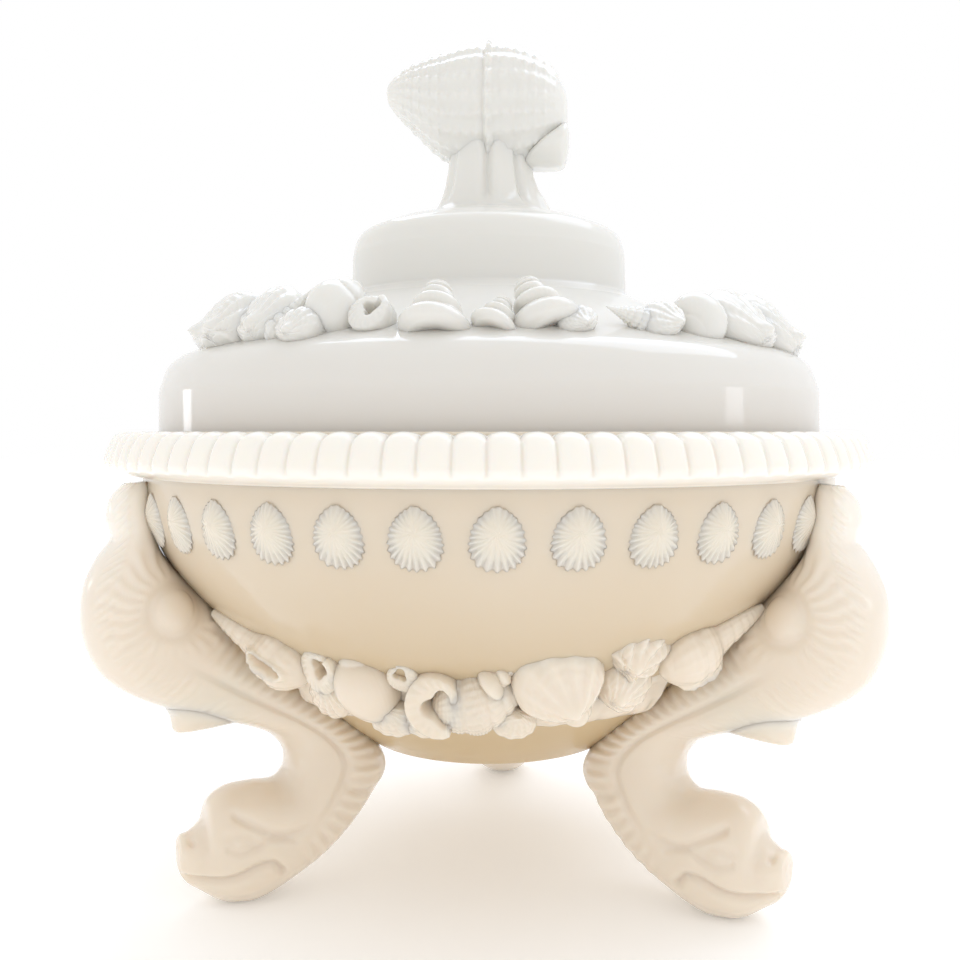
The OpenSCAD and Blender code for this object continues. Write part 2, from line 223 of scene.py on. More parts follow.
def press(name, grids, glass, body, slot, *stands_for):
    """Joins grids of rings, in millimetres, into one smooth piece. Each grid is rows of closed rings. Its
    first and last ring are closed with a point, or join each other where the grid is marked "loop"."""
    points, faces, count = [], [], 0
    for grid, kind in grids:
        rows, cols = grid.shape[:2]
        points.append(grid.reshape(-1, 3))
        faces += ring_faces(rows, cols, count, wrap_rows=kind == "loop").tolist()
        if kind == "loop":
            count += rows * cols
            continue
        points.append(np.array([grid[0].mean(0), grid[-1].mean(0)]))
        start, end = count + rows * cols, count + rows * cols + 1
        last = count + (rows - 1) * cols
        for j in range(cols):
            k = (j + 1) % cols
            faces.append((start, count + k, count + j))
            faces.append((end, last + j, last + k))
        count = end + 1
    mesh = bpy.data.meshes.new(name)
    mesh.from_pydata((np.concatenate(points) * MM).tolist(), [], faces)
    mesh.validate()
    mesh.polygons.foreach_set("use_smooth", np.ones(len(mesh.polygons), bool))
    mesh.materials.append(glass)
    mesh.update()
    piece = bpy.data.objects.new(name, mesh)
    bpy.context.collection.objects.link(piece)
    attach(piece, body)
    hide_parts(*stands_for)
    return piece


def soft_outline(corners, step=0.35):
    """A closed outline with rounded corners: each corner is (r, z, radius)."""
    pts, n = [], len(corners)
    for i in range(n):
        here = np.array(corners[i][:2], float)
        back = np.array(corners[i - 1][:2], float) - here
        ahead = np.array(corners[(i + 1) % n][:2], float) - here
        la, lb = np.linalg.norm(back), np.linalg.norm(ahead)
        back, ahead = back / la, ahead / lb
        half = math.acos(np.clip(back @ ahead, -1, 1)) / 2
        cut = min(corners[i][2] / max(math.tan(half), 1e-3), la * 0.49, lb * 0.49)
        if cut < 1e-6:
            pts.append(here)
            continue
        steps = max(3, int(cut / step))
        for t in np.linspace(0, 1, steps + 1):
            into, out_of = here + back * cut, here + ahead * cut
            pts.append((1 - t) ** 2 * into + 2 * t * (1 - t) * here + t ** 2 * out_of)
    return np.array(pts)


def fill_out(outline, longest):
    """Adds points to a closed outline so that no stretch is longer than longest."""
    out = []
    for a, b in zip(outline, np.roll(outline, -1, 0)):
        n = max(1, int(np.ceil(np.linalg.norm(b - a) / longest)))
        out += [a + (b - a) * k / n for k in range(n)]
    return np.array(out)


def turned(outline, sides):
    """Turns a closed (r, z) outline about the dish's axis, one ring of points for each outline point."""
    t = np.arange(sides) * 2 * np.pi / sides
    r, z = outline[:, :1], outline[:, 1:]
    return np.stack([r * np.cos(t), r * np.sin(t), z + 0 * t], -1)


sides = 288
bowl_r = (bowl_high[0] - bowl_low[0]) / 2
base_z = bowl_low[2]
wall_z = rim_z - 13.5
seat_z = box_mm("lid")[0][2]
foot_ring_r = 27
bowl_wall = 6
WALL = [  # radius and height of the outside, from the foot ring up the cone to the upright wall
    (foot_ring_r, base_z + 0.3), (34, base_z + 5.4), (42, base_z + 12.4), (50, base_z + 20),
    (58, base_z + 27.8), (64.5, base_z + 34.6), (69, base_z + 40.6), (71.8, base_z + 46.4),
    (bowl_r, wall_z), (bowl_r, rim_z - 9)]


def wall_radius(z):
    """Radius of the bowl's outside at a height."""
    return np.interp(z, [p[1] for p in smooth_wall], [p[0] for p in smooth_wall])


def curve_through(points, per_span=10):
    """A smooth curve through points of any dimension."""
    p = np.array(points, float)
    p = np.vstack([2 * p[0] - p[1], p, 2 * p[-1] - p[-2]])
    out = []
    for i in range(1, len(p) - 2):
        for t in np.arange(per_span) / per_span:
            a, b, c, d = p[i - 1:i + 3]
            out.append(0.5 * (2 * b + (c - a) * t + (2 * a - 5 * b + 4 * c - d) * t ** 2
                              + (3 * b - a - 3 * c + d) * t ** 3))
    return np.array(out + [p[-2]])


smooth_wall = curve_through(WALL)
wall_slope = np.gradient(smooth_wall, axis=0)
wall_slope /= np.linalg.norm(wall_slope, axis=1)[:, None]
inner_wall = smooth_wall + np.stack([-wall_slope[:, 1], wall_slope[:, 0]], -1) * bowl_wall
inner_wall = inner_wall[(inner_wall[:, 1] > base_z + bowl_wall + 1) & (inner_wall[:, 1] < seat_z - 2)]
underside = [
    [0.01, base_z + 1.2], [foot_ring_r - 5.2, base_z + 1.2], [foot_ring_r - 4.4, base_z + 0.9],
    [foot_ring_r - 3.6, base_z + 0.2], [foot_ring_r - 2.6, base_z], [foot_ring_r - 1.4, base_z + 0.15],
    [foot_ring_r - 0.9, base_z + 0.5], [foot_ring_r - 0.4, base_z + 0.15]]
lid_seat = soft_outline([
    (bowl_r, rim_z - 5, 0), (bowl_r, rim_z, 0.6), (bowl_r - 2, rim_z, 0.6), (bowl_r - 2.2, seat_z, 0.5),
    (bowl_r - bowl_wall, seat_z, 0.8), (bowl_r - bowl_wall, seat_z - 3, 0)])
bowl_floor = [
    [foot_ring_r - 5, base_z + bowl_wall + 0.4], [foot_ring_r - 8, base_z + bowl_wall],
    [0.01, base_z + bowl_wall]]
bowl_outline = np.vstack([underside, smooth_wall[:-1], lid_seat, inner_wall[::-1], bowl_floor])
bowl_grid = turned(bowl_outline, sides)
press("bowl_wall", [(bowl_grid, "ends")], shaded_ivory_glass, "dish", "ivory_milk_glass", "bowl")


# ---------------------------------------------------------------- Beaded rim
# A collar of 96 upright half-round beads, pressed with the bowl. The beads lean in at the top, where their
# round ends scallop the edge, and fade out into a bevel underneath.
BEADS = 96
RIM = [  # radius, height, how much of the grooves shows
    (bowl_r - 0.6, rim_z - 8.9, 0), (bowl_r + 1.4, rim_z - 8.7, 0), (bowl_r + 2.6, rim_z - 8.4, 0),
    (rim_r - 2.4, rim_z - 7.8, 0), (rim_r - 0.9, rim_z - 7.2, 0), (rim_r - 0.25, rim_z - 6.7, 0.75),
    (rim_r - 0.02, rim_z - 6.0, 1), (rim_r - 0.1, rim_z - 5.2, 1), (rim_r - 0.6, rim_z - 3.6, 1),
    (rim_r - 1.3, rim_z - 2.0, 1), (rim_r - 1.9, rim_z - 0.95, 1.3), (rim_r - 2.9, rim_z - 0.25, 1.6),
    (rim_r - 4.0, rim_z, 1.5), (rim_r - 5.2, rim_z - 0.05, 1.2), (rim_r - 6.2, rim_z - 0.6, 0),
    (bowl_r - 0.6, rim_z - 0.9, 0)]
bead_depth = 0.75
rim_curve = curve_through(RIM, 5)
per_bead = 12
rim_turn = np.arange(BEADS * per_bead) * 2 * np.pi / (BEADS * per_bead)
across_bead = (np.arange(BEADS * per_bead) % per_bead) / per_bead * 2 - 1
bead_round = 2.7 - 0.8 * (rim_curve[:, 1:2] > rim_z - 1.6)
bead_hollow = 1 - np.sqrt(np.clip(1 - np.abs(across_bead) ** bead_round, 0, 1))
rim_slope = np.gradient(rim_curve[:, :2], axis=0)
rim_slope /= np.linalg.norm(rim_slope, axis=1)[:, None]
rim_out = np.stack([rim_slope[:, 1], -rim_slope[:, 0]], -1)
sunk = rim_curve[:, 2].clip(0, 1.7)[:, None] * bead_hollow * bead_depth
r = rim_curve[:, :1] - rim_out[:, :1] * sunk
z = rim_curve[:, 1:2] - rim_out[:, 1:] * sunk
rim_grid = np.stack([r * np.cos(rim_turn), r * np.sin(rim_turn), z], -1)
press("rim_of_beads", [(rim_grid, "loop")], ivory_glass, "dish", "ivory_milk_glass", "rim_beads")


# ---------------------------------------------------------------- Sea urchins
# 36 sea urchins in low relief stand side by side on the bowl's upright wall, under the beads. The plunger
# mould has each one cut as a dome with spines that ray out and hang at the bottom.
def frame_at(r, z, slope, azimuth):
    """A place on a turned wall: its point, then right, up and out from the wall as seen from outside."""
    a = math.radians(azimuth)
    out_flat = np.array([math.cos(a), math.sin(a), 0])
    right = np.array([-math.sin(a), math.cos(a), 0])
    up = out_flat * slope[0] + np.array([0, 0, slope[1]])
    return out_flat * r + np.array([0, 0, z]), right, up, np.cross(right, up)


def place(grid, spot):
    """Moves a grid from its own right, up and outward axes to a place on a wall."""
    point, right, up, out = spot
    return point + grid[..., :1] * right + grid[..., 1:2] * up + grid[..., 2:] * out


def on_wall(z, azimuth):
    """A place on the bowl's outside at a height."""
    i = int(np.argmin(abs(smooth_wall[:, 1] - z)))
    return frame_at(wall_radius(z), z, wall_slope[i], azimuth)


def step(x, low, high):
    """Rises smoothly from 0 to 1 between low and high."""
    t = np.clip((x - low) / (high - low), 0, 1)
    return t * t * (3 - 2 * t)


# The low reliefs are a little thicker than the wall behind them. Their copy of the glass is painted
# between the wall's and the rim's, with painted shade, so they come out between it and the rim.
relief_ivory_glass = milk_glass("ivory_milk_glass_relief", "#E9DECE", "#DDCDB4",
                                (26, 92), 0.14, 14, 0.05, 0.5)
URCHINS = 36
urchin_z = rim_z - 16.2
rng = np.random.default_rng(7)


def urchin(spines, jitter):
    """One sea urchin, 9.6 mm wide and 11 tall: a pear-shaped dome whose spines ray out and hang below it."""
    theta = np.arange(168) * 2 * np.pi / 168
    share = np.linspace(1, 0.05, 18)[:, None]
    edge = np.interp(theta, np.radians([0, 25, 50, 90, 120, 150, 180, 210, 240, 270, 310, 335, 360]),
                     [5.3, 4.7, 4.4, 4.5, 5.1, 5.7, 5.6, 5.7, 5.1, 4.5, 4.4, 4.7, 5.3])
    spine = 0.5 + 0.5 * np.cos(spines * theta + jitter + 1.3 * np.sin(3 * theta + jitter))
    edge = edge * (0.92 + 0.10 * spine * (0.4 + 0.6 * np.sin(theta / 2) ** 2))
    reach = share * edge
    x, y = reach * np.sin(theta), reach * np.cos(theta)
    body = 1.4 * (1 - share ** 2) ** 1.6
    low = 0.5 - 0.5 * np.cos(theta)
    ray = 0.36 * (0.25 + 0.75 * low) * (spine - 0.6) * step(share, 0.6, 0.88) * step(share, 1.0, 0.84)
    crown = 0.03 * np.cos(9 * theta + 14 * share) * step(share, 0.7, 0.3)
    return np.stack([x, y + 0.9 * (1 - share), body + ray + crown - 0.22 * share ** 12], -1)


urchins = []
for i in range(URCHINS):
    tuft = urchin(24 + int(rng.integers(0, 4)), rng.uniform(0, 6))
    azimuth = (i + 0.5) * 360 / URCHINS
    urchins.append((place(tuft, on_wall(urchin_z, azimuth)), "ends"))
press("sea_urchin_band", urchins, relief_ivory_glass, "dish", "ivory_milk_glass", "sea_urchins")


# ---------------------------------------------------------------- Shells on the bowl
# Between the dolphins the mould has a garland of sea shells in high relief: whelks, moon snails and
# scallops, packed side by side on the cone of the bowl. The same run is pressed three times.
def spiral(outline, first, growth, bulge, ribs=0, rib=0.0, cords=0, cord=0.0, mouth=None,
           lean=0.0, soft=0.5):
    """A spiral shell with its point on +y, one unit long. The outline is (distance from the point, radius).
    A seam winds round it, from first, each turn further from the point by growth, and the glass swells by
    bulge between the seams. Ribs run along it, leaning over by lean, and cords run round it with the seam.
    The mouth is (distance, angle, length, width, depth) of a hollow with a lip."""
    line = curve_through(outline, 12)
    far, radius = line[:, :1].clip(0.0, 1.0), line[:, 1:]
    phi = np.arange(96) * 2 * np.pi / 96
    winding = np.log(np.maximum(far, 0.02) / first) / math.log(growth) - phi / (2 * np.pi)
    part = winding - np.floor(winding)
    swell = (np.sin(np.pi * np.clip(part, 0.0, 1.0)) + 1e-6) ** soft
    shaped = 1 - bulge * (1 - swell) * step(far, 0.02, 0.1) * step(far, 1.0, 0.93)
    rib_share = swell * step(far, 0.05, 0.2) * step(far, 1.0, 0.9)
    cord_share = step(far, 0.1, 0.25) * step(far, 1.0, 0.9)
    shaped = shaped + rib * np.cos(ribs * phi + lean * part) * rib_share
    shaped = shaped + cord * np.cos(2 * np.pi * cords * part) * cord_share
    r = radius * shaped
    if mouth:
        at, angle, long, wide, deep = mouth
        off = np.arctan2(np.sin(phi - angle), np.cos(phi - angle)) * radius
        q = np.hypot((far - at) / long, off / wide)
        r = r - deep * np.clip(1 - q ** 2, 0, 1) ** 0.7 + 0.035 * np.exp(-((q - 1.15) / 0.16) ** 2)
    return np.stack([r * np.sin(phi), 0.5 - far + 0 * phi, r * np.cos(phi)], -1)


def curl(start, thick, deep, mouth, point=0.0, shift=(0, 0)):
    """A shell seen into its mouth, one unit tall: a lip that curls round a deep hollow and thins to its end.
    The hollow is mouth wide, has a corner at the angle point, and lies off the middle by shift."""
    share = np.linspace(1, 0.03, 36)[:, None]
    theta = np.arange(120) * 2 * np.pi / 120
    turn = ((theta - start) % (2 * np.pi)) / (2 * np.pi)
    edge = 0.5 * (1 - 0.14 * turn)
    crest = mouth * (1 + 0.22 * np.cos(3 * (theta - point)) + 0.16 * np.cos(theta - point))
    centre = step(share, 1.0, 0.45)
    x = edge * np.sin(theta) * share + shift[0] * centre
    y = edge * np.cos(theta) * share + shift[1] * centre
    roll = np.sqrt(np.clip(1 - ((share - (0.6 * crest + 0.4)) / (0.4 + 0.22 * (1 - crest))) ** 2, 0.0, 1))
    roll = roll * step(share, 1.0, 0.97)
    bowl = (1 + deep / thick) * step(share, crest * 1.06, crest * 0.7)
    wrinkle = 0.008 * np.cos(16 * theta + 5 * share) * step(share, 0.55, 0.75) * step(share, 1.0, 0.95)
    z = thick * (1.1 - 0.3 * turn) * (roll - bowl) + wrinkle
    return np.stack([x * 0.92, y, z - 0.25 * (share > 0.99)], -1)


def fan(ribs, width=1.0, rings=3, depth=0.34, rib=0.04, ears=True):
    """A scallop, one unit tall: ribs fan out from the beak at the bottom to a scalloped edge at the top."""
    share = np.linspace(1.0, 0.02, 34)[:, None]
    theta = np.arange(192) * 2 * np.pi / 192
    wide = np.sin(theta) * (0.5 + 0.06 * np.cos(theta)) * width
    high = 0.46 * np.cos(theta) + 0.04 * np.cos(2 * theta)
    beak = -0.30
    if ears:
        ear = np.exp(-((np.abs(theta - np.pi) - 0.62) / 0.16) ** 2)
        wide, high = wide + 0.07 * np.sign(wide) * ear, high - 0.03 * ear
    x, y = wide * share, beak + (high - beak) * share
    ray = np.arctan2(x, np.abs(y - beak) * (y > beak) + (y - beak) * (y <= beak) + 0.10 * width)
    pleat = np.cos(ray * ribs * 2)
    dome = depth * np.sqrt(np.clip(1 - share ** 2.6, 0, 1))
    growth = rib * 0.3 * np.cos(share ** 1.3 * np.pi * 4 * rings)
    grow = step(share, 0.1, 0.6) * step(share, 1.0, 0.96)
    umbo = 0.10 * np.exp(-(share / 0.22) ** 2)
    edge = 1 + rib * 0.5 * pleat * share ** 3
    z = dome + umbo + (rib * pleat + growth) * grow
    return np.stack([x * edge, beak + (y - beak) * edge, z - 0.25 * (share > 0.99)], -1)


def laid(grid, spot, length, turn, sink=0.0, width=1.0):
    """Scales a shell to its length and width, turns it in the wall's plane, and lays it there."""
    t = math.radians(turn)
    g = grid * [width, 1, 1]
    g = g @ np.array([[math.cos(t), math.sin(t), 0], [-math.sin(t), math.cos(t), 0], [0, 0, 1]])
    return place((g * length) - [0, 0, sink], spot), "ends"


WHELK = spiral(
    [(0, 0.035), (0.15, 0.07), (0.32, 0.10), (0.46, 0.125), (0.57, 0.185), (0.70, 0.22), (0.84, 0.19),
     (0.95, 0.11), (1.0, 0.02)],
    first=0.5, growth=1.4, bulge=0.10, ribs=16, rib=0.012, cords=4, cord=0.008,
    mouth=(0.70, 0.6, 0.16, 0.05, 0.14), lean=1.5)
GRANULAR = spiral(
    [(0, 0.03), (0.08, 0.12), (0.2, 0.22), (0.4, 0.33), (0.6, 0.35), (0.8, 0.28), (0.94, 0.15), (1.0, 0.02)],
    first=0.22, growth=1.7, bulge=0.10, ribs=26, rib=0.02, cords=9, cord=0.02)
TURBAN = spiral(
    [(0, 0.06), (0.05, 0.16), (0.14, 0.22), (0.26, 0.25), (0.32, 0.30), (0.42, 0.37), (0.56, 0.40),
     (0.62, 0.47), (0.76, 0.55), (0.90, 0.55), (0.97, 0.42), (0.92, 0.2), (0.88, 0.03)],
    first=0.30, growth=1.9, bulge=0.26, ribs=30, rib=0.004, soft=0.6)
MOON = spiral(
    [(0, 0.02), (0.04, 0.1), (0.12, 0.22), (0.28, 0.35), (0.5, 0.41), (0.72, 0.37), (0.9, 0.22),
     (1.0, 0.02)],
    first=0.2, growth=4.6, bulge=0.16, ribs=40, rib=0.004)
HORN = spiral(
    [(0, 0.01), (0.15, 0.05), (0.35, 0.11), (0.55, 0.17), (0.75, 0.22), (0.9, 0.17), (1.0, 0.02)],
    first=0.7, growth=1.28, bulge=0.22, ribs=13, rib=0.03)
CURL = curl(1.2, 0.28, 0.10, 0.40, 1.7, (0.09, 0.05))
LOOP = curl(2.6, 0.28, 0.26, 0.50, 2.5, (0.08, 0.02))
SCALLOP = fan(7, rib=0.024)
CLAM = fan(9, width=1.06, depth=0.30, rib=0.011, ears=False)
COCKLE = fan(10, rib=0.014, ears=False)

# Each shell of the run: its form, angle from the run's middle, height, length, turn, sink and width.
GARLAND = [
    (WHELK, -44.0, 52.6, 24, 56, 0.6, 1.2), (CURL, -29.2, 50.6, 9.6, 20, -0.4, 1.0),
    (COCKLE, -30.5, 44.6, 9.6, 150, 1.0, 1.0), (MOON, -20.8, 48.0, 16.0, 16, 1.2, 0.9),
    (CURL, -12.0, 50.5, 6.4, 80, 0.0, 1.0), (COCKLE, -16.0, 41.4, 7.5, 190, 1.2, 1.3),
    (COCKLE, -9.4, 41.4, 7.0, 170, 1.2, 1.3), (GRANULAR, 1.8, 45.6, 17.0, -74, 1.6, 1.0),
    (LOOP, -6.0, 46.4, 12.4, 0, -0.2, 0.95), (TURBAN, 6.2, 51.2, 7.2, -50, 0.4, 0.85),
    (COCKLE, 9.0, 41.6, 7.0, 170, 1.2, 1.2), (CLAM, 16.8, 50.2, 16.2, 25, -0.2, 0.96),
    (MOON, 21.6, 43.4, 5.8, -60, -0.2, 1.1), (COCKLE, 31.0, 48.2, 12.0, -60, 0.6, 0.95),
    (SCALLOP, 31.6, 55.8, 14.0, -50, -0.2, 0.9), (WHELK, 46.5, 54.8, 23, -52, 0.2, 1.3)]


def on_ledge(z, middle, angle):
    """A place on the garland's front, which is steeper than the cone behind it, but less so at its ends."""
    end = step(abs(angle), 34, 42)
    lean = math.radians(74 - 24 * end)
    r = (51.6 + (z - 46) * 0.36) * (1 - end) + (wall_radius(z) + 1.6) * end
    return frame_at(r, z, (math.cos(lean), math.sin(lean)), middle + angle)


def ledge(middle):
    """The rough ledge that the shells of one run stand on, from one dolphin to the next."""
    azimuth = np.radians(np.linspace(middle - 50, middle + 50, 201))
    section = curve_through([
        (56.6, 54.6), (56.0, 53.4), (53.0, 51.5), (50.6, 48.0), (48.6, 44.0), (46.8, 41.0), (44.6, 39.4),
        (41.2, 38.8), (36.0, 40.6), (42.0, 47.0), (54.0, 56.0)], 4)
    rows = []
    for i, a in enumerate(azimuth):
        end = step(min(i, 200 - i), 0, 8)
        rough = np.array([noise.noise((a * 14, z * 0.35, middle)) for _, z in section]) * 0.9
        r = section[:, 0] + rough * end - 3.5 * (1 - end)
        rows.append(np.stack([r * math.cos(a), r * math.sin(a), section[:, 1]], -1))
    return np.array(rows), "ends"


shell_root = 3.5  # how deep a shell's back goes into the wall


def rooted(grid):
    """Keeps a shell's back inside the thickness of the bowl's wall."""
    radius = np.hypot(grid[..., 0], grid[..., 1])
    least = wall_radius(grid[..., 2]) - shell_root
    push = (np.maximum(radius, least) / radius)[..., None]
    return np.concatenate([grid[..., :2] * push, grid[..., 2:]], -1)


for side, middle in (("front", 270), ("right", 30), ("left", 150)):
    run = [laid(form, on_ledge(z, middle, angle), length, turn, sink, width)
           for form, angle, z, length, turn, sink, width in GARLAND] + [ledge(middle)]
    run = [(rooted(grid), kind) for grid, kind in run]
    press(f"shell_garland_{side}", run, ivory_glass, "dish", "ivory_milk_glass", f"shells_{side}")


# ---------------------------------------------------------------- Dolphin feet
# Three dolphins stand on their chins and hold the bowl on their bent backs, tails up under the rim. They are
# pressed with the bowl in a three-part mould. The chins are ground flat so that the dish doesn't rock.
DOLPHIN = [  # outer edge (radius, height), inner edge (radius, height), half width
    (67.2, 12.6, 67.2, 10.2, 1.6), (66.6, 14.0, 67.0, 7.6, 3.2), (64.6, 14.6, 65.6, 5.2, 4.6),
    (62.4, 16.6, 63.2, 3.4, 5.8), (61.4, 20.0, 59.6, 0.9, 7.4), (58.0, 22.2, 56.6, 0, 8.6),
    (52.6, 22.6, 51.8, 0, 9.2), (48.2, 22.4, 45.0, 3.0, 9.4), (46.2, 24.2, 37.0, 8.0, 9.4),
    (46.0, 26.8, 30.0, 15.0, 9.2), (47.2, 29.6, 25.0, 22.8, 8.9), (50.2, 32.6, 28.5, 30.0, 8.9),
    (55.0, 34.8, 36.0, 37.0, 9.3), (62.0, 36.8, 45.0, 44.5, 9.8), (70.0, 39.8, 53.0, 51.5, 10.6),
    (76.4, 43.0, 58.0, 56.0, 11.2), (81.2, 47.0, 62.0, 60.0, 11.6), (84.0, 52.4, 65.5, 63.5, 11.4),
    (84.9, 58.0, 68.5, 67.0, 10.9), (84.2, 63.5, 70.5, 70.0, 9.6), (82.0, 68.4, 71.5, 73.0, 8.2),
    (79.5, 72.0, 72.0, 76.0, 7.0), (80.2, 75.6, 72.3, 79.0, 6.4), (79.6, 79.6, 72.5, 81.5, 4.9),
    (77.4, 82.4, 73.0, 83.0, 2.4)]
dolphin_sides = 128
dolphin_root = 1.6


def groove(rho, z, path, width, depth):
    """A soft groove (or ridge, where depth is negative) along a path drawn on the dolphin's flank."""
    path = curve_through(path, 8)
    nearest = np.full(rho.shape, 1e9)
    for a, b in zip(path[:-1], path[1:]):
        run = b - a
        share = np.clip(((rho - a[0]) * run[0] + (z - a[1]) * run[1]) / (run @ run + 1e-9), 0, 1)
        nearest = np.minimum(nearest, np.hypot(rho - a[0] - share * run[0], z - a[1] - share * run[1]))
    return -depth * np.exp(-(nearest / width) ** 2)


def mound(rho, z, middle, radii, height, turn=0.0):
    """A soft mound (or hollow) on the flank."""
    c, s = math.cos(math.radians(turn)), math.sin(math.radians(turn))
    u = (rho - middle[0]) * c + (z - middle[1]) * s
    v = -(rho - middle[0]) * s + (z - middle[1]) * c
    return height * np.exp(-((u / radii[0]) ** 2 + (v / radii[1]) ** 2) ** 1.3)


def dolphin_relief(rho, z, depth, flank, run):
    """Height of the dolphin's carving. Depth runs from -1, against the bowl, to 1, at its outer edge;
    flank is 1 on its two sides; run is the distance along it from the snout."""
    head = step(rho, 42, 47) * step(z, 27, 24)
    # The head: cheek fold, brow, eye socket and eyeball, forehead, mouth, lower jaw, snout and nostril.
    lift = groove(rho, z, [(41, 16.6), (45.5, 14.6), (50.2, 14.6), (54.3, 16.6), (57.4, 18.4)], 0.8, 0.75)
    lift += groove(rho, z, [(46.5, 13.0), (51.0, 14.0), (53.4, 12.8), (56.2, 11.8), (59.2, 12.6)], 0.6, 0.5)
    lift += mound(rho, z, (56.3, 14.0), (3.2, 1.5), -0.75, 12)
    lift += mound(rho, z, (56.5, 14.0), (1.5, 0.9), 0.55, 8)
    lift += mound(rho, z, (49.5, 18.4), (6.5, 2.8), 0.7, 5)
    mouth_line = [(48.6, 7.0), (50.6, 9.0), (53.4, 8.9), (57.0, 7.4), (61.0, 6.6), (66.5, 6.8)]
    lift += groove(rho, z, mouth_line, 0.75, 1.15)
    lift += mound(rho, z, (55.5, 5.0), (6.0, 2.0), 0.55, -8)
    lift += mound(rho, z, (64.6, 11.6), (2.2, 2.0), 0.5)
    lift += mound(rho, z, (65.0, 13.3), (0.7, 0.6), -0.55)
    lift *= head
    # The bend of the back: a round boss with a moat round it, and rays that run out from it.
    boss_r, boss_z = 69.0, 59.6
    boss = np.hypot(rho - boss_r, z - boss_z)
    lift += 1.1 * np.clip(1 - (boss / 3.6) ** 2, 0, 1) ** 0.8 * (z > 50)
    lift -= 0.28 * np.exp(-((boss - 4.9) / 0.8) ** 2)
    around = np.arctan2(z - boss_z, rho - boss_r)
    rays = 0.5 + 0.5 * np.cos(26 * around + 0.9 * np.sin(boss * 0.9))
    rays_share = step(boss, 5.2, 7.6) * step(boss, 14.5, 11.0) * step(depth, 0.86, 0.55) * step(z, 50, 54)
    lift += 0.26 * rays * rays_share
    # The body: cross ribs 2.1 mm apart down the edge by the bowl, a groove along its middle, fine hair
    # 1.5 mm apart on its outer half, and a fold behind the head.
    body = step(z, 25, 29) * step(rho, 66, 56) + step(rho, 46, 42) * step(z, 27, 24)
    back = step(depth, -0.94, -0.6) * step(depth, -0.08, -0.3)
    lift += 0.5 * (0.5 + 0.5 * np.cos(run * 2 * np.pi / 2.1 + 5 * depth)) * back * np.clip(body, 0, 1)
    lift -= 0.55 * np.exp(-((depth + 0.02) / 0.07) ** 2) * step(run, 24, 34) * step(rho, 70, 60)
    hair = 0.5 + 0.5 * np.cos(run * 2 * np.pi / 1.5 + 9 * depth + 1.6 * np.sin(run * 0.8))
    hair_share = step(depth, 0.05, 0.25) * step(depth, 0.85, 0.6) * step(z, 33, 38) * step(boss, 9, 13)
    lift += 0.26 * hair * hair_share
    lift -= 0.45 * np.exp(-((run - 36) / 1.1) ** 2) * step(depth, 0.1, -0.2)
    return lift * flank


def dolphin_grid():
    """A dolphin that faces along +x, as rings from its snout to its tail."""
    rails = curve_through(DOLPHIN, 14)
    outer, inner, half = rails[:, 0:2], rails[:, 2:4], rails[:, 4]
    t = np.arange(dolphin_sides) * 2 * np.pi / dolphin_sides
    c, s = np.cos(t), np.sin(t)
    c, s = np.sign(c) * np.abs(c) ** 0.92, np.sign(s) * np.abs(s) ** 0.92
    mid, reach = (outer + inner) / 2, (outer - inner) / 2
    rho = mid[:, :1] + reach[:, :1] * c
    z = mid[:, 1:] + reach[:, 1:] * c
    y = half[:, None] * s
    grid = np.stack([rho, y, z], -1)
    along = np.gradient(grid, axis=0)
    around = np.roll(grid, -1, 1) - np.roll(grid, 1, 1)
    normal = np.cross(around, along)
    normal /= np.linalg.norm(normal, axis=2)[..., None] + 1e-9
    if (normal[:, 0] * reach[:, [0, 0, 1]] * [1, 0, 1]).sum() < 0:
        normal = -normal
    middle_run = np.concatenate([[0], np.cumsum(np.linalg.norm(np.diff(mid, axis=0), axis=1))])
    run = middle_run[:, None] + 0 * rho
    flank = step(np.abs(normal[..., 1]), 0.15, 0.6)
    grid = grid + normal * dolphin_relief(rho, z, c + 0 * rho, flank, run)[..., None]
    radius = np.hypot(grid[..., 0], grid[..., 1])
    least = np.where(grid[..., 2] > base_z, wall_radius(grid[..., 2]) - dolphin_root, 0)
    grid[..., :2] *= (np.maximum(radius, least) / radius)[..., None]
    grid[..., 2] = np.maximum(grid[..., 2], 0)
    return grid


def fin_grid():
    """The small blunt fin that hangs from the dolphin's back over its head."""
    path = curve_through([  # inner edge, outer edge and their heights, then half width
        (46.0, 74.6, 46.5, 49.0, 8.6), (48.4, 72.8, 41.6, 44.8, 8.6),
        (50.6, 71.2, 38.0, 41.6, 7.8), (54.0, 70.0, 35.9, 39.9, 6.8),
        (58.6, 68.9, 35.0, 38.2, 5.2), (63.0, 68.4, 34.5, 36.6, 3.6), (65.8, 68.2, 34.3, 35.3, 2.2),
        (67.0, 67.9, 34.3, 34.7, 1.0)], 6)
    t = np.arange(48) * 2 * np.pi / 48
    c, s = np.cos(t), np.sin(t)
    c = np.sign(c) * np.abs(c) ** 0.8
    inner, outer = path[:, :1], path[:, 1:2]
    low, high = path[:, 2:3], path[:, 3:4]
    return np.stack([(inner + outer) / 2 + (outer - inner) / 2 * c, path[:, 4:] * s,
                     (low + high) / 2 + (high - low) / 2 * c], -1)


def turn_about(grid, azimuth):
    """Turns a grid about the dish's axis."""
    a = math.radians(azimuth)
    return grid @ np.array([[math.cos(a), math.sin(a), 0], [-math.sin(a), math.cos(a), 0], [0, 0, 1]])


dolphin_shape, fin_shape = dolphin_grid(), fin_grid()
for side, azimuth in (("back", 90), ("left", 210), ("right", 330)):
    parts = [(turn_about(dolphin_shape, azimuth), "ends"), (turn_about(fin_shape, azimuth), "ends")]
    press(f"dolphin_foot_{side}", parts, ivory_glass, "dish", "ivory_milk_glass", f"dolphin_{side}")


